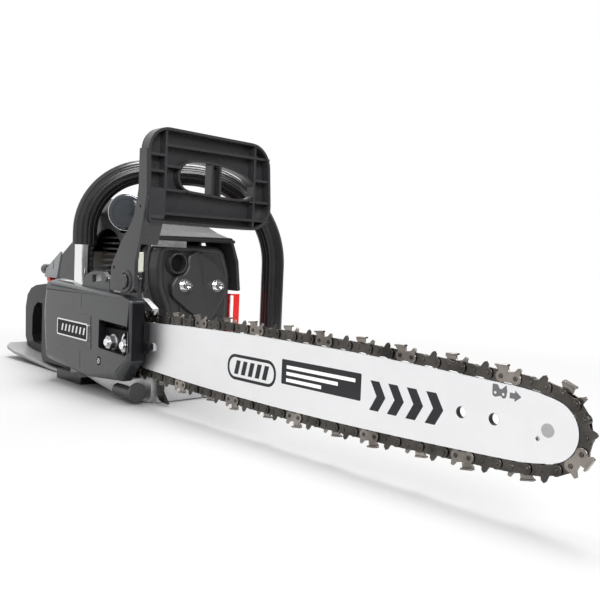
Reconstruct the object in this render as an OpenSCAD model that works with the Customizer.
/* [Guide bar] */
// height of the bar's centreline above the ground
bar_z = 62; // [50:0.5:80]
// thickness of the bar plate
bar_thick = 4.4; // [3:0.1:6]
// half height of the bar at its widest place
bar_half = 28.7; // [20:0.1:35]
// distance of the widest place from the datum, towards the nose
bar_belly_x = 165; // [100:1:250]
// radius of the long rail arcs
rail_r = 4600; // [3000:50:8000]
// radius of the shoulder arcs before the nose
shoulder_r = 140; // [100:5:250]
// radius of the nose
nose_r = 19.6; // [15:0.1:30]
// position of the nose sprocket's axis
nose_x = 410.3; // [300:0.1:500]
// width of the groove that guides the chain
groove = 1.7; // [1.3:0.1:2.2]
// depth of the groove
groove_deep = 8.6; // [6:0.1:12]
// spacing of the two lightening holes in the bar
bar_hole_gap = 25; // [20:0.5:40]
// diameter of the lightening holes
bar_hole_d = 8; // [5:0.1:12]

/* [Chain] */
// distance from one rivet to the next
link_pitch = 10.26; // [7:0.01:12]
// number of rivets in the loop
rivet_count = 128; // [80:4:160]
// height of the rivet line above the rail
rivet_lift = 4.3; // [3:0.1:6]
// thickness of a drive link
drive_thick = 1.5; // [1.1:0.1:2]
// thickness of a side strap
strap_thick = 1.15; // [0.9:0.05:1.6]
// rivet diameter
rivet_d = 2.9; // [2:0.1:4]

/* [Drive] */
// crank axis, set so the loop of links closes
crank_x = -172.514; // [-190:0.001:-150]
// teeth on the rim sprocket
rim_teeth = 7; // [6:1:9]
// outer radius of the clutch drum
drum_r = 36; // [30:0.5:45]
// centre plane of the cylinder and crank throw
engine_y = 77; // [55:1:90]
// half of the piston's stroke
crank_throw = 16; // [12:0.5:20]
// cylinder bore
bore_d = 45; // [38:0.5:52]

/* [Clutch cover] */
// outer face of the clutch cover
cover_y = -24; // [-32:0.5:-20]
// wall thickness of plastic shells
wall = 2.5; // [1.5:0.1:4]
// distance between the two bar studs
stud_gap = 32; // [25:0.5:40]

/* [Handles] */
// outer radius of the rubber sleeve on the front handle
sleeve_r = 14; // [10:0.5:17]
// outer radius of the steel tube
tube_r = 11; // [8:0.5:13]
// height of the front handle's centreline across the top
handle_z = 254.5; // [230:0.5:290]
// width of the front handle between its two legs
handle_w = 228; // [180:1:260]
// angle of the front handle seen from above
handle_turn = 60.85; // [50:0.05:90]
// hinge axis of the hand guard, height
guard_z = 127.5; // [110:0.5:140]
// hinge axis of the hand guard, position along the saw
guard_x = -57; // [-70:0.5:-45]

/* [Hidden] */
// the rear handle's parts are drawn about y = 40 and moved by this
rear_y = 14;
$fn = 48;
e = 0.02;
// the row frame: the datum is moved so the origin is the bottom centre of the whole saw
shift_x = -0.198;
shift_y = -96.06;
rim_r = link_pitch / (2 * sin(180 / (2 * rim_teeth)));
stud_x = [-49, -49 - stud_gap];
handle_x = -196;
handle_y = 6;
bend_a = 74.5;
bend_b = 106.5;
bend_c = 34;
low_z = 14;

// ---- general helpers -------------------------------------------------------
module saw() translate([shift_x, shift_y, 0]) children();
module along_y(y0, y1) translate([0, y1, 0]) rotate([90, 0, 0]) linear_extrude(y1 - y0) children();
module along_x(x0, x1) translate([x0, 0, 0]) rotate([90, 0, 90]) linear_extrude(x1 - x0) children();
module along_z(z0, z1) translate([0, 0, z0]) linear_extrude(z1 - z0) children();
module box(x0, x1, y0, y1, z0, z1) translate([x0, y0, z0]) cube([x1 - x0, y1 - y0, z1 - z0]);
module rod_y(x, z, r, y0, y1) translate([x, y1, z]) rotate([90, 0, 0]) cylinder(r = r, h = y1 - y0);
module rod_x(y, z, r, x0, x1) translate([x0, y, z]) rotate([0, 90, 0]) cylinder(r = r, h = x1 - x0);
module rod_z(x, y, r, z0, z1) translate([x, y, z0]) cylinder(r = r, h = z1 - z0);
module round_rect(a0, a1, b0, b1, r) {
  translate([a0 + r, b0]) square([a1 - a0 - 2 * r, b1 - b0]);
  translate([a0, b0 + r]) square([a1 - a0, b1 - b0 - 2 * r]);
  for (a = [a0 + r, a1 - r], b = [b0 + r, b1 - r]) translate([a, b]) circle(r);
}
module ring(ro, ri) difference() {
  circle(ro);
  if (ri > 0) circle(ri);
}
module hex_y(x, z, af, y0, y1) translate([x, y1, z]) rotate([90, 0, 0])
  cylinder(d = af / cos(30), h = y1 - y0, $fn = 6);

// ---- bar outline and chain path --------------------------------------------
function meet(p, r, q, s) =
  let (d = norm(q - p), a = (r * r - s * s + d * d) / (2 * d), h = sqrt(r * r - a * a),
    m = p + (q - p) * a / d, n = [-(q - p)[1], (q - p)[0]] / d)
  (m - h * n)[0] < (m + h * n)[0] ? m - h * n : m + h * n;
rail_c = [bar_belly_x, bar_half - rail_r];
nose_c = [nose_x, 0];
shoulder_c = meet(nose_c, shoulder_r - nose_r, rail_c, rail_r - shoulder_r);
function bearing(v) = atan2(v[1], v[0]);
turn_a = bearing(shoulder_c - rail_c);
turn_b = bearing(nose_c - shoulder_c);
function on(c, r, t) = c + r * [cos(t), sin(t)];
tail_t = 90 + asin((bar_belly_x + 118) / rail_r);
function upper(off) = concat(
  [for (i = [0:20]) on(rail_c, rail_r + off, tail_t + (turn_a - tail_t) * i / 20)],
  [for (i = [1:5]) on(shoulder_c, shoulder_r + off, turn_a + (turn_b - turn_a) * i / 5)],
  [for (i = [1:12]) on(nose_c, nose_r + off, turn_b - turn_b * i / 12)]);
function flip(p) = [for (i = [len(p) - 2:-1:0]) [p[i][0], -p[i][1]]];
function outline(off) = concat(upper(off), flip(upper(off)));

crank_c = [crank_x, 0];
leave_t = let (d = rail_c - crank_c)
  bearing(d) + acos((rim_r - rail_r - rivet_lift) / norm(d));
wrap = leave_t > 180 ? bearing(rail_c - crank_c) - acos((rim_r - rail_r - rivet_lift)
  / norm(rail_c - crank_c)) + 360 : leave_t;
rail_p = rail_r + rivet_lift;
run = norm(on(rail_c, rail_p, wrap) - on(crank_c, rim_r, wrap));
len_a = PI / 180 * (180 - wrap) * rim_r;
len_b = len_a + run;
len_c = len_b + PI / 180 * (wrap - turn_a) * rail_p;
len_d = len_c + PI / 180 * (turn_a - turn_b) * (shoulder_r + rivet_lift);
len_e = len_d + PI / 180 * turn_b * (nose_r + rivet_lift);
function half_way(s) =
  s <= len_a ? on(crank_c, rim_r, 180 - s / rim_r * 180 / PI)
  : s <= len_b ? on(crank_c, rim_r, wrap) + (s - len_a) * [sin(wrap), -cos(wrap)]
  : s <= len_c ? on(rail_c, rail_p, wrap - (s - len_b) / rail_p * 180 / PI)
  : s <= len_d ? on(shoulder_c, shoulder_r + rivet_lift,
      turn_a - (s - len_c) / (shoulder_r + rivet_lift) * 180 / PI)
  : on(nose_c, nose_r + rivet_lift, turn_b - (s - len_d) / (nose_r + rivet_lift) * 180 / PI);
function way(s) = s > 2 * len_e ? way(s - 2 * len_e)
  : s <= len_e ? half_way(s) : let (q = half_way(2 * len_e - s)) [q[0], -q[1]];
function close_in(s, t, k) = k == 0 ? s + t
  : close_in(s, t + link_pitch - norm(way(s + t) - way(s)), k - 1);
function march(s, k) = k == 0 ? [] : concat([s], march(close_in(s, link_pitch, 5), k - 1));
rivets = [for (s = march(0, rivet_count)) way(s)];
// place a link drawn with its first rivet at the origin and its second on +X; up is outwards
module at_link(k) {
  a = rivets[k % rivet_count];
  b = rivets[(k + 1) % rivet_count];
  translate([a[0], 0, bar_z + a[1]]) rotate([0, -bearing(b - a), 0]) children();
}

// ---- guide bar -------------------------------------------------------------
module guide_bar() color([0.86, 0.86, 0.87]) saw() translate([0, 0, bar_z]) difference() {
  along_y(-bar_thick / 2, bar_thick / 2) polygon(outline(0));
  difference() {
    along_y(-groove / 2, groove / 2) polygon(outline(1));
    along_y(-groove, groove) polygon(outline(-groove_deep));
  }
  // room for the nose sprocket between the side plates
  rod_y(nose_x, 0, 15.4, -groove / 2, groove / 2);
  rod_y(nose_x, 0, 4.3, -9, 9);
  // tail slot for the studs, adjuster holes, oil hole and the two lightening holes
  box(-104, -25, -9, 9, -4.2, 4.2);
  rod_y(-104, 0, 4.2, -9, 9);
  rod_y(-25, 0, 4.2, -9, 9);
  for (s = [-1, 1]) rod_y(-84, 13 * s, 3.6, -9, 9);
  for (x = [348.2, 348.2 + bar_hole_gap]) rod_y(x, 0, bar_hole_d / 2, -9, 9);
  rod_y(404, -6.2, 1.5, -9, 9);
}
module nose_sprocket() color([0.4, 0.4, 0.42]) saw() translate([nose_x, 0, bar_z]) difference() {
  union() {
    rod_y(0, 0, 9.5, -0.65, 0.65);
    for (i = [0:9]) rotate([0, i * 36, 0]) along_y(-0.65, 0.65)
      polygon([[-1.9, 6], [1.9, 6], [0.7, 12.9], [-0.7, 12.9]]);
  }
  rod_y(0, 0, 6.06, -2, 2);
}
module nose_rivet() color([0.52, 0.52, 0.54]) saw() translate([nose_x, 0, bar_z]) {
  rod_y(0, 0, 6, -0.8, 0.8);
  rod_y(0, 0, 4.3, -bar_thick / 2 - 0.1, bar_thick / 2 + 0.1);
}

// ---- chain -----------------------------------------------------------------
module strap(y0, y1, hole) difference() {
  union() {
    along_y(y0, y1) {
      translate([0, -0.2]) circle(3.9, $fn = 32);
      translate([link_pitch, -0.2]) circle(3.9, $fn = 32);
      translate([0, -3.3]) square([link_pitch, 6.4]);
    }
    along_y(y0, y1) children();
  }
  if (hole) for (x = [0, link_pitch]) rod_y(x, 0, rivet_d / 2 + 0.04, y0 - 1, y1 + 1, $fn = 24);
}
drive_y = drive_thick / 2;
out_y = drive_y + 0.05;
module drive_link() difference() {
  along_y(-drive_y, drive_y) {
    translate([0, 0.2]) circle(3.5, $fn = 32);
    translate([link_pitch, 0.2]) circle(3.5, $fn = 32);
    polygon([[0, 3.7], [link_pitch, 3.7], [link_pitch + 1.5, -3], [link_pitch - 1.6, -5.6],
      [6.6, -9.2], [5.2, -9.4], [3.4, -6], [0, -3.1]]);
  }
  for (x = [0, link_pitch]) rod_y(x, 0, rivet_d / 2 + 0.04, -2, 2, $fn = 24);
}
module chain_drive_links() color([0.3, 0.3, 0.31]) saw()
  for (k = [0:2:rivet_count - 1]) at_link(k) drive_link();
// side links sit between two drive links; every fourth rivet gap holds a cutter on one side
module rivets_at(y0, y1) for (x = [0, link_pitch]) {
  rod_y(x, 0, rivet_d / 2, y0, y1, $fn = 24);
}
module preset(side) {
  strap(min(side * out_y, side * (out_y + strap_thick)),
    max(side * out_y, side * (out_y + strap_thick)), false);
  rivets_at(-out_y - strap_thick - 0.5, out_y + strap_thick + 0.5);
  for (x = [0, link_pitch]) rod_y(x, 0, 2.1, min(side * (out_y + strap_thick),
    side * (out_y + strap_thick + 0.55)), max(side * (out_y + strap_thick),
    side * (out_y + strap_thick + 0.55)), $fn = 24);
}
module tie(side) strap(min(side * out_y, side * (out_y + strap_thick)),
  max(side * out_y, side * (out_y + strap_thick)), true)
  polygon([[2.5, 2.5], [10.4, 2.5], [10.8, 5.6], [9.2, 7.6], [7.4, 6.8], [5, 3.4]]);
module cutter(side) {
  a = side * out_y;
  b = side * (out_y + strap_thick);
  strap(min(a, b), max(a, b), true)
    polygon([[-1.2, 2.4], [6, 2.4], [11, 2.4], [13.2, 1.2], [14, 6.4], [12, 7.2], [9.4, 4.4],
      [5.2, 3.6], [4.6, 8.2], [-4, 7.4], [-4.2, 5.4]]);
  t = side * (out_y - 0.5);
  u = side * 4.1;
  along_y(min(t, u), max(t, u)) polygon([[-4, 7.4], [4.9, 8.3], [5.1, 7], [-3.8, 6.2]]);
}
module chain_cutters_right() color([0.62, 0.58, 0.52]) saw()
  for (k = [1:8:rivet_count - 1]) at_link(k) cutter(-1);
module chain_cutters_left() color([0.62, 0.58, 0.52]) saw()
  for (k = [5:8:rivet_count - 1]) at_link(k) cutter(1);
module chain_preset_straps() color([0.34, 0.33, 0.33]) saw() {
  for (k = [1:8:rivet_count - 1]) at_link(k) preset(1);
  for (k = [5:8:rivet_count - 1]) at_link(k) preset(-1);
  for (k = [3:4:rivet_count - 1]) at_link(k) preset(1);
}
module chain_tie_straps() color([0.32, 0.31, 0.31]) saw()
  for (k = [3:4:rivet_count - 1]) at_link(k) tie(-1);

// ---- clutch and sprocket ---------------------------------------------------
module at_crank() saw() translate([crank_x, 0, bar_z]) children();
module clutch_drum() color([0.5, 0.5, 0.52]) at_crank() difference() {
  union() {
    rod_y(0, 0, drum_r, -19.5, -5.4);
    rod_y(0, 0, 9.6, -6, 3.2);
  }
  rod_y(0, 0, drum_r - 1.8, -20, -7);
  rod_y(0, 0, 7.05, -21, 9);
  for (a = [0:60:300]) rotate([0, a, 0]) rod_y(23, 0, 4, -12, 0);
}
module rim_sprocket() color([0.45, 0.45, 0.47]) at_crank() difference() {
  union() {
    rod_y(0, 0, 12.6, -3.1, 3.1);
    for (s = [-1, 1]) rod_y(0, 0, 17.6, s * 2.05 - 1, s * 2.05 + 1);
  }
  rod_y(0, 0, 9.6, -5, 5);
  for (i = [0:rim_teeth - 1]) rotate([0, i * 360 / rim_teeth, 0]) rod_y(15, 0, 1.6, -5, 5);
}
module needle_bearing() color([0.6, 0.6, 0.62]) at_crank() {
  for (i = [0:11]) rotate([0, i * 30, 0]) rod_y(6, 0, 0.9, -4.6, 2.4, $fn = 16);
  difference() {
    rod_y(0, 0, 6.9, -6.2, -4.8);
    rod_y(0, 0, 5.15, -9, 0);
  }
  difference() {
    rod_y(0, 0, 6.9, 2.6, 3.6);
    rod_y(0, 0, 5.15, 2, 5);
  }
}
module clutch_spider() color([0.45, 0.45, 0.46]) at_crank() difference() {
  union() {
    rod_y(0, 0, 12, -18, -8.5);
    for (a = [0:120:240]) rotate([0, a, 0]) box(0, 22, -17, -9.5, -4, 4);
  }
  rod_y(0, 0, 5, -30, 0);
}
module clutch_shoes() color([0.38, 0.36, 0.35]) at_crank()
  for (a = [0:120:240]) rotate([0, a, 0]) difference() {
    rod_y(0, 0, 32.6, -17.5, -9);
    rod_y(0, 0, 13, -30, 0);
    rotate([0, -57, 0]) box(-60, 60, -30, 0, 0, 80);
    rotate([0, 57, 0]) box(-60, 60, -30, 0, -80, 0);
    box(0, 22.6, -30, 0, -4.4, 4.4);
    // pockets for the springs
    for (s = [-60, 60]) rotate([0, s, 0]) box(25.2, 29, -15, -11.6, -4.4, 4.4);
  }
module clutch_springs() color([0.68, 0.68, 0.7]) at_crank()
  for (a = [60:120:300]) rotate([0, a, 0]) along_y(-14.6, -12) difference() {
    translate([25.6, -4]) square([3, 8]);
    translate([26.6, -3]) square([1, 6]);
  }
module brake_band() color([0.55, 0.55, 0.57]) at_crank() difference() {
  rod_y(0, 0, drum_r + 1.5, -17.5, -8.5);
  rod_y(0, 0, drum_r + 0.5, -30, 0);
  rotate([0, -40, 0]) box(0, 60, -30, 0, -7, 7);
}

// ---- clutch cover ----------------------------------------------------------
cover_pts = [[-226, 120.5], [-60, 112.8], [-38, 108], [-38, 46], [-60, 22.5], [-128, 19.5],
  [-234, 25], [-242, 36], [-245, 90], [-238, 116]];
inner_pts = [[-225, 117.8], [-60, 110.2], [-40.6, 106.2], [-40.6, 47], [-61.2, 25.2], [-128, 22.2],
  [-232.4, 27.6], [-239.4, 37], [-242.4, 90], [-235.8, 114.6]];
module clutch_cover() color([0.3, 0.3, 0.31]) saw() difference() {
  union() {
    difference() {
      along_y(cover_y, -7) polygon(cover_pts);
      along_y(cover_y + wall, 9) polygon(inner_pts);
      box(-70, -36, -9.5, 9, 20, 106);
    }
    // pad that clamps the bar, reached by the two studs
    box(-112, -41, cover_y + 1, -2.3, 51, 75);
    box(-112, -51, -16, -2.3, 40, 51);
    // raised panel behind the badge and the top rib
    along_y(cover_y - 1.2, cover_y + 1) polygon([[-208, 62], [-190, 88], [-118, 86], [-118, 52],
      [-204, 57]]);
    along_y(cover_y - 0.8, cover_y + 1) polygon([[-224, 116], [-62, 109], [-62, 106.6],
      [-225, 113.4]]);
    // black edge where the bar comes out, with the lug that sits in the bar's slot
    along_y(-9, -2.7) polygon([[-50, 85], [-34.5, 85], [-35, 66.5], [-33, 65.6], [-26, 65.6],
      [-26, 58.8], [-33, 58.8], [-35.3, 54], [-50, 54]]);
    // bracket behind the hand guard, with its square window
    difference() {
      along_y(-13.5, -8.5) polygon([[-166, 112], [-155, 129], [-141, 134.3], [-113.5, 135.4],
        [-102, 128], [-97, 110]]);
      along_y(-20, 0) polygon([[-138.5, 131], [-118, 132.5], [-117.6, 125.2], [-138, 122.5]]);
    }
    // boss around the hand guard's axis
    rod_y(guard_x, guard_z, 8, -14.4, -7);
    along_y(-12.6, -7) polygon([[-80, 108], [-76, 124], [-62, 132], [-50, 130], [-41, 108]]);
  }
  // recess for the nuts, holes for the studs and the chain tension screw
  along_y(cover_y - 3, -16) polygon([[-101, 84.5], [-44, 82], [-39, 74], [-39, 56], [-46, 51.5],
    [-101, 54]]);
  for (x = stud_x) rod_y(x, bar_z, 4.1, -30, 9);
  rod_y(-99, 40, 3.05, -30, 9);
  rod_y(guard_x, guard_z, 4.05, -30, 9);
  // vertical part lines moulded in the face
  box(-142.6, -141.8, cover_y - 3, cover_y + 0.5, 93, 109);
  box(-142.6, -141.8, cover_y - 3, cover_y + 0.5, 26, 46);
  // cooling slots
  for (x = [-108:9:-72]) box(x, x + 4, cover_y - 3, cover_y + 0.7, 92, 102);
}
module badge_plate() color([0.08, 0.08, 0.09]) saw()
  along_y(cover_y - 2.4, cover_y - 1.2) round_rect(-194, -123, 60, 77, 1.2);
module bar_nuts() color([0.8, 0.8, 0.82]) saw() for (x = stud_x) difference() {
  union() {
    rod_y(x, bar_z, 8.5, -17.6, -16);
    hex_y(x, bar_z, 13, -24, -17.6);
  }
  rod_y(x, bar_z, 4, -30, 0);
}
module bar_studs() color([0.72, 0.72, 0.74]) saw() for (x = stud_x)
  rod_y(x, bar_z, 4, -27, 22);
module tension_screw() color([0.5, 0.5, 0.52]) saw() {
  difference() {
    union() {
      rod_y(-99, 40, 3, cover_y - 0.6, -12);
      rod_y(-99, 40, 4.6, -21, -18.4);
    }
    translate([-99, 0, 40]) rotate([0, 30, 0]) box(-4, 4, cover_y - 2, cover_y + 0.8, -0.6, 0.6);
  }
}

// ---- hand guard ------------------------------------------------------------
guard_rim = [[-14, 192], [-16, 262], [-7, 280], [6, 286], [118, 283.5], [134, 276], [143, 262],
  [146, 204], [138, 192], [118, 187], [6, 187], [-2, 188]];
guard_in = [[-11.4, 193.6], [-13.4, 261.4], [-5.2, 278], [7, 283.4], [117.4, 281], [132.4, 274],
  [140.4, 261], [143.4, 204.8], [136.6, 194.4], [117.6, 189.6], [6.4, 189.6], [-1, 190.6]];
// the window with its middle post, drawn in the guard's face
module window(grow) {
  for (y = [41, 104]) translate([y, 238]) circle(16 + grow);
  translate([41, 222 - grow]) square([63, 32 + 2 * grow]);
}
module hand_guard() color([0.11, 0.11, 0.12]) saw() difference() {
  union() {
    // tray: back skin with rim and ribs towards the bar
    along_x(-38, -35.4) difference() {
      polygon(guard_rim);
      window(0);
    }
    along_x(-36.7, -24) difference() {
      polygon(guard_rim);
      polygon(guard_in);
    }
    along_x(-36.7, -27) difference() {
      window(2.2);
      window(0);
    }
    for (y = [8, 122]) box(-36.7, -26.6, y - 1, y + 1, y == 8 ? 188 : 188.4, 281.8);
    box(-36.7, -26.2, -13, 144, 199, 201);
    box(-36.7, -26.2, 8, 144, 267, 269);
    for (z = [219, 238]) box(-36.7, -26.2, 121.5, 144.4, z - 1, z + 1);
    for (z = [219, 257]) box(-36.7, -26.2, -14.6, 8.5, z - 1, z + 1);
    box(-38, -26.4, 67, 69.2, 220.6, 255.4);
    box(-38, -26.4, 74, 76.2, 220.6, 255.4);
    // arm: side plate and front flange, down to the pivot
    along_y(-18.5, -15) polygon([[-24.5, 262], [-22, 216], [-33, 172], [-40.5, 150], [-40.5, 121],
      [-50, 115.2], [-80, 116.5], [-92, 118], [-88, 143], [-68, 170], [-46, 190], [-37.4, 222],
      [-37.4, 262]]);
    along_y(-16, 6.4) polygon([[-24.6, 220], [-25, 198], [-34, 166], [-37.2, 166], [-28.4, 198.6],
      [-28.4, 220]]);
    along_y(-16.2, -2) polygon([[-34, 167.4], [-41, 150], [-41, 142], [-43.4, 142],
      [-43.4, 150.4], [-37, 167.4]]);
    rod_y(guard_x, guard_z, 11, -20.4, -16);
  }
  rod_y(guard_x, guard_z, 4.05, -30, 9);
  rod_y(-82, 141, 1.8, -30, 0);
  rod_y(-33, 204, 1.4, -30, 0);
}
module guard_pivot_bolt() color([0.2, 0.2, 0.21]) saw() {
  rod_y(guard_x, guard_z, 4, -20.8, 5);
  rod_y(guard_x, guard_z, 7.4, -22.6, -20.7);
}
module brake_latch() color([0.86, 0.86, 0.78]) saw()
  along_y(-14, -6) polygon([[-50, 136], [-43.8, 138], [-43.8, 141.5], [-43.8, 158], [-50, 158]]);

// ---- handles ---------------------------------------------------------------
// the handle runs up on the right, across and down on the left in one upright plane, and
// turns under the saw at the bottom; foot and end say where the pipe starts and stops
module handle_pipe(ro, ri, foot, end) translate([handle_x, handle_y, 0]) rotate([0, 0, handle_turn]) {
  top = handle_z - bend_a;
  side = handle_z - bend_b;
  translate([0, 0, foot]) linear_extrude(top - foot) ring(ro, ri);
  translate([bend_a, 0, top]) rotate([90, 0, 0]) rotate([0, 0, 90]) rotate_extrude(angle = 90)
    translate([bend_a, 0]) ring(ro, ri);
  translate([bend_a, 0, handle_z]) rotate([90, 0, 90])
    linear_extrude(handle_w - bend_a - bend_b) ring(ro, ri);
  translate([handle_w - bend_b, 0, side]) rotate([90, 0, 0]) rotate_extrude(angle = 90)
    translate([bend_b, 0]) ring(ro, ri);
  translate([handle_w, 0, low_z + bend_c]) linear_extrude(side - low_z - bend_c) ring(ro, ri);
  translate([handle_w, 0, 0]) rotate([0, 0, -handle_turn]) {
    translate([0, -bend_c, low_z + bend_c]) rotate([90, 0, 90]) rotate([0, 0, -90])
      rotate_extrude(angle = 90) translate([bend_c, 0]) ring(ro, ri);
    translate([0, -bend_c, low_z]) rotate([90, 0, 0]) linear_extrude(end) ring(ro, ri);
  }
}
module front_handle_tube() color([0.8, 0.8, 0.82]) saw()
  handle_pipe(tube_r, tube_r - 1.8, 101, 205.1 - bend_c - 122);
module front_grip() color([0.06, 0.06, 0.06]) saw() handle_pipe(sleeve_r, tube_r, 164, 24);
module fuel_tank() color([0.1, 0.1, 0.11]) saw() difference() {
  along_y(16, 122) round_rect(-330, -247, 8, 92, 9);
  along_y(19, 119) round_rect(-327, -250, 11, 89, 7);
  rod_y(-288, 56, 14.4, 110, 130);
}
module rear_handle() color([0.09, 0.09, 0.1]) saw() translate([0, rear_y, 0]) difference() {
  union() {
    along_y(26, 54) polygon([[-330, 112], [-330, 72], [-345, 80], [-398, 81], [-409, 74],
      [-414, 60], [-414, 34], [-408, 24], [-330, 19], [-330, 8], [-408, 13], [-428, 16],
      [-436, 30], [-437.5, 72], [-432, 90], [-420, 100], [-404, 105], [-360, 110]]);
  }
  // room for the trigger and the lockout, each on its pin
  difference() {
    box(-374, -336, 34.5, 45.5, 60, 100);
    rod_y(-346, 92, 2, 30, 50);
  }
  difference() {
    box(-388, -350, 35, 45, 92, 130);
    rod_y(-356, 105, 1.5, 30, 50);
    rod_y(-346, 92, 2, 30, 50);
  }
}
module throttle_trigger() color([0.07, 0.07, 0.08]) saw() translate([0, rear_y, 0])
  difference() {
  along_y(35, 45) polygon([[-342, 97], [-338, 90], [-346, 74], [-362, 62], [-367, 62.5],
    [-360, 76], [-356, 90], [-350, 97]]);
  rod_y(-346, 92, 2.03, 20, 60);
}
module throttle_lockout() color([0.07, 0.07, 0.08]) saw() translate([0, rear_y, 0])
  difference() {
  along_y(35.5, 44.5) polygon([[-352, 110], [-352, 101], [-386, 99], [-387, 104], [-380, 113.5],
    [-366, 114.5]]);
  rod_y(-356, 105, 1.53, 20, 60);
}
module rear_foot() color([0.36, 0.36, 0.37]) saw() difference() {
  along_y(12, 92) polygon([[-332, 7.6], [-408, 12.4], [-429, 15.6], [-440, 21], [-441, 17],
    [-430, 11.6], [-408, 8], [-300, 1], [-250, 0], [-250, 3], [-300, 4.6]]);
  translate([-441, 20, -10]) rotate([0, 0, -45]) translate([-20, -10, 0]) cube([40, 10, 50]);
}

// ---- crankcase and engine --------------------------------------------------
module crankcase_right() color([0.66, 0.66, 0.68]) saw() difference() {
  union() {
    along_y(5, 12) polygon([[-238, 28], [-238, 96], [-228, 117], [-60, 109], [-42, 100], [-40, 50],
      [-40, 8], [-46, 1], [-120, 1], [-200, 12]]);
    // rim that meets the cover
    difference() {
      along_y(-6.5, 6) polygon(cover_pts);
      along_y(-7, 7) polygon(inner_pts);
      box(-70, -30, -9, 6.1, 10, 120);
    }
    rod_y(crank_x, bar_z, 46, 11, engine_y);
    box(-118, -40, 12, 46, 1, 56);
    box(-236, -118, 12, 46, 12, 28);
    box(-66, -44, 12, 20, 0, 1);
    box(-112, -96, 12, 40, 0, 1);
  }
  rod_y(crank_x, bar_z, 38, 16, engine_y + 1);
  rod_y(crank_x, bar_z, 10.05, -9, 30);
  box(-115, -43, 15, 43, 4, 53);
  for (x = stud_x) rod_y(x, bar_z, 4, 0, 22);
  rod_y(guard_x, guard_z, 4, 0, 22);
  rod_z(crank_x, engine_y, 26, bar_z + 20, 130);
  pipe_room(tube_r);
}
// clear space where the front handle's tube enters
module pipe_room(r) translate([handle_x, handle_y, 100.9]) cylinder(r = r + 0.02, h = 90);
module crankcase_left() color([0.66, 0.66, 0.68]) saw() difference() {
  union() {
    rod_y(crank_x, bar_z, 46, engine_y, 92);
    along_y(86, 92) polygon([[-236, 20], [-236, 107.6], [-126, 107.6], [-110, 77.6], [-44, 76],
      [-40, 50], [-40, 6], [-46, 1], [-120, 1], [-200, 12]]);
    box(-118, -40, 46, 122, 1, 56);
    box(-112, -96, 60, 110, 0, 1);
    box(-66, -44, 60, 110, 0, 1);
    // bosses that carry the starter housing
    for (p = [[-226, 32], [-226, 96], [-130, 26], [-122, 84]]) rod_y(p[0], p[1], 5, 91, 100.6);
  }
  rod_y(crank_x, bar_z, 38, engine_y - 1, 88);
  rod_y(crank_x, bar_z, 10.05, 80, 100);
  box(-115, -43, 49, 119, 4, 53);
  rod_y(-61, 36, 13.4, 100, 130);
  rod_z(crank_x, engine_y, 26, bar_z + 20, 130);
}
deck_z = 110;
module engine_cylinder() color([0.7, 0.7, 0.72]) saw() difference() {
  union() {
    along_z(deck_z, deck_z + 5) translate([crank_x, engine_y]) round_rect(-34, 34, -34, 34, 6);
    rod_z(crank_x, engine_y, 29, deck_z, 186);
    for (i = [0:8]) along_z(120 + i * 6.6, 122 + i * 6.6) translate([crank_x, engine_y])
      round_rect(-44, 44, -41, 41, 12);
    box(crank_x + 20, -125, engine_y - 32, engine_y + 32, 112, 136);
    box(-217, crank_x - 20, engine_y - 20, engine_y + 20, 108, 137);
    rod_z(crank_x, engine_y, 9, 180, 190);
  }
  rod_z(crank_x, engine_y, bore_d / 2, deck_z - 5, 164);
  rod_z(crank_x, engine_y, 5, 160, 200);
  rod_x(engine_y, 124, 9, -170, -120);
  rod_x(engine_y, 122, 8, -230, -190);
  for (y = [56.9, 101.2]) rod_x(y, 123.4, 2.6, -146, -120);
}
module spark_plug() color([0.85, 0.85, 0.84]) saw() {
  rod_z(crank_x, engine_y, 5, 168, 190);
  translate([crank_x, engine_y, 190]) cylinder(d = 18.5, h = 6, $fn = 6);
  rod_z(crank_x, engine_y, 4.2, 196, 204);
}
module plug_boot() color([0.08, 0.08, 0.08]) saw() difference() {
  union() {
    rod_z(crank_x, engine_y, 8, 197, 209);
    rod_y(crank_x, 203, 4.5, engine_y, 104);
  }
  rod_z(crank_x, engine_y, 4.2, 190, 204);
}
shell_pts = [[38, 166], [29, 157], [25.5, 144], [26.5, 122], [33, 108], [38, 80], [124, 80],
  [123, 130], [119, 150], [112, 162], [102, 167]];
shell_in = [[39, 164.4], [30.8, 156], [27.4, 143.8], [28.4, 122.4], [34.8, 108.6], [39.6, 81.8],
  [122.2, 81.8], [121.2, 129.8], [117.4, 149.2], [110.8, 160.6], [101.4, 165.2]];
module muffler_shell() color([0.1, 0.1, 0.1]) saw() difference() {
  union() {
    along_x(-106, -66) polygon(shell_pts);
    along_x(-88, -85) polygon([for (p = shell_pts) [75 + (p[0] - 75) * 1.02,
      124 + (p[1] - 124) * 1.02]]);
    rod_x(48.7, 147.3, 11.4, -70, -61);
    for (y = [56.9, 101.2]) rod_x(y, 123.4, 6, -124.8, -100);
    box(-124.8, -104, 62, 92, 114, 134);
  }
  difference() {
    along_x(-104.4, -67.6) polygon(shell_in);
    for (y = [56.9, 101.2]) rod_x(y, 123.4, 6, -130, -60);
  }
  rod_x(48.7, 147.3, 9.6, -72, -50);
  rod_x(engine_y, 124, 8, -130, -100);
  for (y = [56.9, 101.2]) rod_x(y, 123.4, 2.65, -130, -50);
}
module muffler_cover() color([0.13, 0.13, 0.13]) saw() difference() {
  union() {
    along_x(-66, -61.4) polygon([[60, 157], [84, 159], [112, 138], [117, 124], [112, 108],
      [97, 86], [80, 84], [46, 108], [41, 121], [46, 134]]);
    along_x(-62, -59.8) polygon([[68, 156], [78, 157], [92, 88], [84, 87]]);
  }
  rod_x(48.7, 147.3, 11.6, -80, -50);
  for (y = [56.9, 101.2]) rod_x(y, 123.4, 2.65, -130, -50);
}
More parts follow.
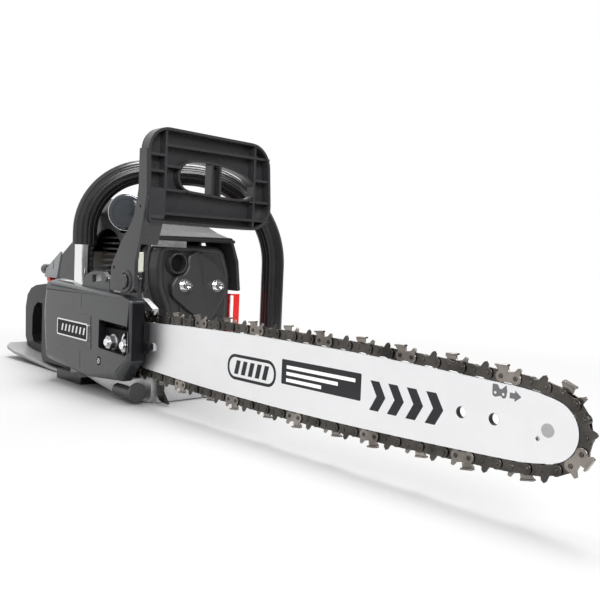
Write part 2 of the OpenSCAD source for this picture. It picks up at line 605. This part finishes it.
module muffler_bolts() color([0.78, 0.78, 0.79]) saw() for (y = [56.9, 101.2]) difference() {
  union() {
    rod_x(y, 123.4, 2.6, -145, -60);
    rod_x(y, 123.4, 7, -61.4, -60);
    rod_x(y, 123.4, 4.6, -60, -53);
  }
  translate([-56.5, y, 123.4]) rotate([0, 90, 0]) cylinder(d = 5.6, h = 6, $fn = 6);
}
module heat_shield() color([0.82, 0.83, 0.85]) saw() {
  box(-126, -64.4, 16, 60, 170.6, 171.8);
  box(-65.6, -64.4, 16, 60, 164.8, 170.8);
}

// ---- intake and covers -----------------------------------------------------
module intake_boot() color([0.07, 0.07, 0.07]) saw() difference() {
  union() {
    rod_x(engine_y, 122, 12, -238, -217);
    along_x(-219.4, -217) translate([engine_y, 122]) round_rect(-20, 20, -13, 14, 4);
  }
  rod_x(engine_y, 122, 8, -240, -200);
}
module carburettor() color([0.72, 0.72, 0.73]) saw() difference() {
  union() {
    box(-276, -238, engine_y - 16, engine_y + 16, 105, 140);
    box(-270, -244, engine_y - 19, engine_y - 15.9, 110, 134);
    rod_z(-257, engine_y + 10, 3, 140, 146);
    rod_x(engine_y, 122, 14, -281, -276);
  }
  rod_x(engine_y, 122, 8, -290, -230);
}
module air_filter() color([0.85, 0.84, 0.78]) saw() difference() {
  along_x(-326, -281) translate([engine_y, 144]) round_rect(-24, 34, -34, 12, 7);
  along_x(-323, -284) translate([engine_y, 144]) round_rect(-21, 31, -31, 9, 5);
  rod_x(engine_y, 122, 8, -290, -270);
}
hump = [[-62, 175.6], [-96, 184], [-128, 196], [-152, 210], [-178, 219], [-214, 222], [-250, 218],
  [-296, 206], [-332, 192]];
// bevel along the cover's edge, which leaves room for the handle's sleeve
module bevel_cut(d) translate([0, 0.788 * d, -0.616 * d]) along_x(-370, -40)
  polygon([[22, 197], [22, 199.5], [58, 245.5], [-10, 245.5], [-10, 197]]);
// slope that narrows the casing towards the rear, d inside its outer face
module rear_slope(d) translate([-293, 30, 157]) rotate([0, 52.17, -116.76])
  translate([-250, -250, -d]) cube([500, 500, 260]);
module top_cover() color([0.09, 0.09, 0.1]) saw() difference() {
  along_y(24, 126) polygon(concat(hump, [[-338, 176], [-342, 122], [-226, 118], [-226, 150],
    [-128, 150], [-128, 172], [-62, 172.4]]));
  bevel_cut(0);
  rear_slope(0);
  difference() {
    along_y(27, 123) polygon([[-66, 171], [-96, 181], [-128, 193], [-152, 207], [-178, 216],
      [-214, 219], [-250, 215], [-295, 203.4], [-331, 190], [-335.6, 176], [-339.4, 110],
      [-200, 110], [-128, 110], [-66, 110]]);
    rear_slope(3);
    bevel_cut(3);
  }
  // arch over the cooling fins on the clutch side
  rod_y(-176, 146, 38, 10, 30);
  box(-228, -120, 10, 30, 100, 150);
  knob_place() translate([0, 0, -4.4]) cylinder(r = 24.4, h = 40);
}
module knob_place() translate([-142, 30, 203]) rotate([0, 0, -45]) rotate([0, 90, 0]) children();
module cover_knob() color([0.13, 0.14, 0.16]) saw() knob_place() {
    translate([0, 0, -4]) cylinder(r = 24, h = 7);
    intersection() {
      translate([0, 0, -62]) sphere(r = 70, $fn = 64);
      translate([0, 0, 3]) cylinder(r = 22.6, h = 10);
    }
  }
// the filter cover's right wall runs inwards to the rear, d inside its outer face
module side_taper(d) translate([0.418 * d, 0.908 * d, 60]) linear_extrude(200)
  polygon([[-331, 22], [-440, 72.2], [-440, -40], [-331, -40]]);
module filter_cover() color([0.5, 0.51, 0.52]) saw() difference() {
  along_y(22, 120) polygon([[-338.8, 170], [-344.6, 118], [-396, 113], [-400, 118], [-398, 150],
    [-388, 168], [-362, 184], [-340.8, 190]]);
  rear_slope(0);
  side_taper(0);
  difference() {
    along_y(24.5, 117.5) polygon([[-337, 168], [-341, 124], [-394, 116], [-397, 120], [-395, 149],
      [-386, 166], [-361, 181], [-338, 187]]);
    rear_slope(2.5);
    side_taper(2.5);
  }
  // seat and hole for the choke knob
  rod_x(41, 129, 7.6, -395, -364.4);
  rod_x(41, 129, 3.2, -395, -336);
  box(-404, -390, 87, 93, 127, 142);
}
module choke_knob() color([0.07, 0.07, 0.08]) saw() {
  rod_x(41, 129, 3, -366, -346);
  rod_x(41, 129, 7, -377, -365);
}
module stop_switch() color([0.75, 0.1, 0.08]) saw()
  union() {
    box(-405.6, -400.3, 84, 96, 126, 138);
    box(-401, -393, 87.5, 92.5, 128, 135);
  }

// ---- left side: ignition and starter ---------------------------------------
module flywheel() color([0.68, 0.68, 0.7]) at_crank() difference() {
  union() {
    rod_y(0, 0, 42, 101.2, 106.4);
    rod_y(0, 0, 14, 94.3, 112);
    for (i = [0:15]) rotate([0, i * 22.5, 0]) box(22, 41, 106, 113, -1, 1);
  }
  rod_y(0, 0, 8, 90, 120);
}
module ignition_coil() color([0.12, 0.12, 0.13]) at_crank() rotate([0, -30, 0]) {
  box(46, 58, 101.4, 111, -14, 14);
  for (z = [-12, 5]) box(42.6, 47, 102, 106, z, z + 7);
}
module starter_housing() color([0.75, 0.08, 0.07]) saw() difference() {
  union() {
    along_y(100.6, 128) polygon([[-234, 15.5], [-243, 60], [-239, 107.6], [-108, 107.6], [-106, 84],
      [-122, 66], [-122, 15.5]]);
    rod_y(crank_x, bar_z, 50, 120, 140);
    // cheek that carries on forward beside the muffler
    along_y(125.8, 128) polygon([[-124, 60], [-124, 107], [-110, 113.6], [-64, 113.6], [-64, 76],
      [-70, 60]]);
    box(-66.2, -64, 126, 137, 74, 113.6);
  }
  along_y(98, 125.6) polygon([[-231.6, 17.9], [-240.4, 60], [-236.6, 105.2], [-110.4, 105.2],
    [-108.6, 85], [-124.4, 67], [-124.4, 17.9]]);
  rod_y(crank_x, bar_z, 47.6, 118, 137.6);
  for (i = [0:17]) translate([crank_x, 0, bar_z]) rotate([0, i * 20, 0])
    box(26, 43, 135, 145, -1.8, 1.8);
}
module starter_pulley() color([0.85, 0.85, 0.82]) at_crank() difference() {
  union() {
    rod_y(0, 0, 34, 118, 120);
    rod_y(0, 0, 29, 119, 127);
    rod_y(0, 0, 34, 126, 128);
  }
  rod_y(0, 0, 6, 110, 130);
}
module starter_handle() color([0.07, 0.07, 0.07]) saw() {
  rod_z(-206, 134, 3, 104, 122);
  along_z(121, 131) translate([-206, 134]) round_rect(-24, 24, -7, 7, 6);
}
module crankshaft() color([0.6, 0.6, 0.62]) at_crank() {
  rod_y(0, 0, 5, -20.8, 8);
  rod_y(0, 0, 10, 7.5, 61);
  rod_y(0, 0, 32, 60, 69);
  rod_y(0, 0, 32, 85, 87.5);
  rod_y(0, 0, 10, 87, 94);
  rod_y(0, 0, 8, 93, 113);
}
module connecting_rod() color([0.62, 0.6, 0.58]) at_crank() difference() {
  union() {
    rod_y(0, crank_throw, 9.5, engine_y - 5, engine_y + 5);
    box(-4, 4, engine_y - 3, engine_y + 3, crank_throw, 76);
    rod_y(0, 76, 7, engine_y - 5, engine_y + 5);
  }
  rod_y(0, 76, 4.5, 60, 100);
}
module piston() color([0.75, 0.75, 0.77]) at_crank() {
  difference() {
    rod_z(0, engine_y, bore_d / 2 - 0.06, 66.5, 96);
    rod_z(0, engine_y, bore_d / 2 - 3.5, 60, 90);
    rod_y(0, 76, 4.5, 40, 110);
  }
  rod_y(0, 76, 4.5, engine_y - 19.5, engine_y + 19.5);
}

// ---- caps, spikes, catcher, mounts -----------------------------------------
module oil_cap() color([0.08, 0.08, 0.08]) saw() difference() {
  union() {
    rod_y(-61, 36, 13.3, 112, 122.2);
    rod_y(-61, 36, 17, 122.1, 128);
  }
  box(-80, -40, 126, 130, 34.5, 37.5);
}
module fuel_cap() color([0.08, 0.08, 0.08]) saw() difference() {
  union() {
    rod_y(-288, 56, 14.3, 112, 122.2);
    rod_y(-288, 56, 18, 122.1, 129);
  }
  box(-308, -268, 127, 131, 54.5, 57.5);
}
module bumper_spikes() color([0.3, 0.3, 0.31]) saw() {
  along_y(12.4, 16) polygon([[-39.9, 8], [-39.9, 52], [-34, 52], [-22, 47], [-33, 40], [-33, 33],
    [-18, 24], [-31, 22], [-32, 14], [-21, 2], [-36, 4]]);
}
module chain_catcher() color([0.08, 0.08, 0.09]) saw() {
  rod_x(-9, 10.5, 6.8, -84, -45);
  rod_x(-9, 13, 10, -46, -42.6);
  box(-56, -47, -9, 4.98, 6, 14);
}
module vibration_mounts() color([0.05, 0.05, 0.05]) saw() {
  rod_x(87.6, 44, 5.2, -247, -236);
  rod_x(30, 20, 7.4, -247, -236);
  // rubber foot under the crankcase
  along_y(-4, 46) polygon([[-240, 0.5], [-178, 0.5], [-178, 8.8], [-200, 11.9], [-240, 11.9]]);
}

guide_bar();
nose_sprocket();
nose_rivet();
chain_drive_links();
chain_cutters_right();
chain_cutters_left();
chain_preset_straps();
chain_tie_straps();
clutch_drum();
rim_sprocket();
needle_bearing();
clutch_spider();
clutch_shoes();
clutch_springs();
brake_band();
clutch_cover();
badge_plate();
bar_nuts();
bar_studs();
tension_screw();
hand_guard();
guard_pivot_bolt();
brake_latch();
front_handle_tube();
front_grip();
fuel_tank();
rear_handle();
throttle_trigger();
throttle_lockout();
rear_foot();
crankcase_right();
crankcase_left();
engine_cylinder();
spark_plug();
plug_boot();
muffler_shell();
muffler_cover();
muffler_bolts();
heat_shield();
carburettor();
intake_boot();
air_filter();
filter_cover();
top_cover();
cover_knob();
flywheel();
ignition_coil();
starter_housing();
starter_pulley();
starter_handle();
crankshaft();
connecting_rod();
piston();
oil_cap();
fuel_cap();
bumper_spikes();
chain_catcher();
choke_knob();
stop_switch();
vibration_mounts();
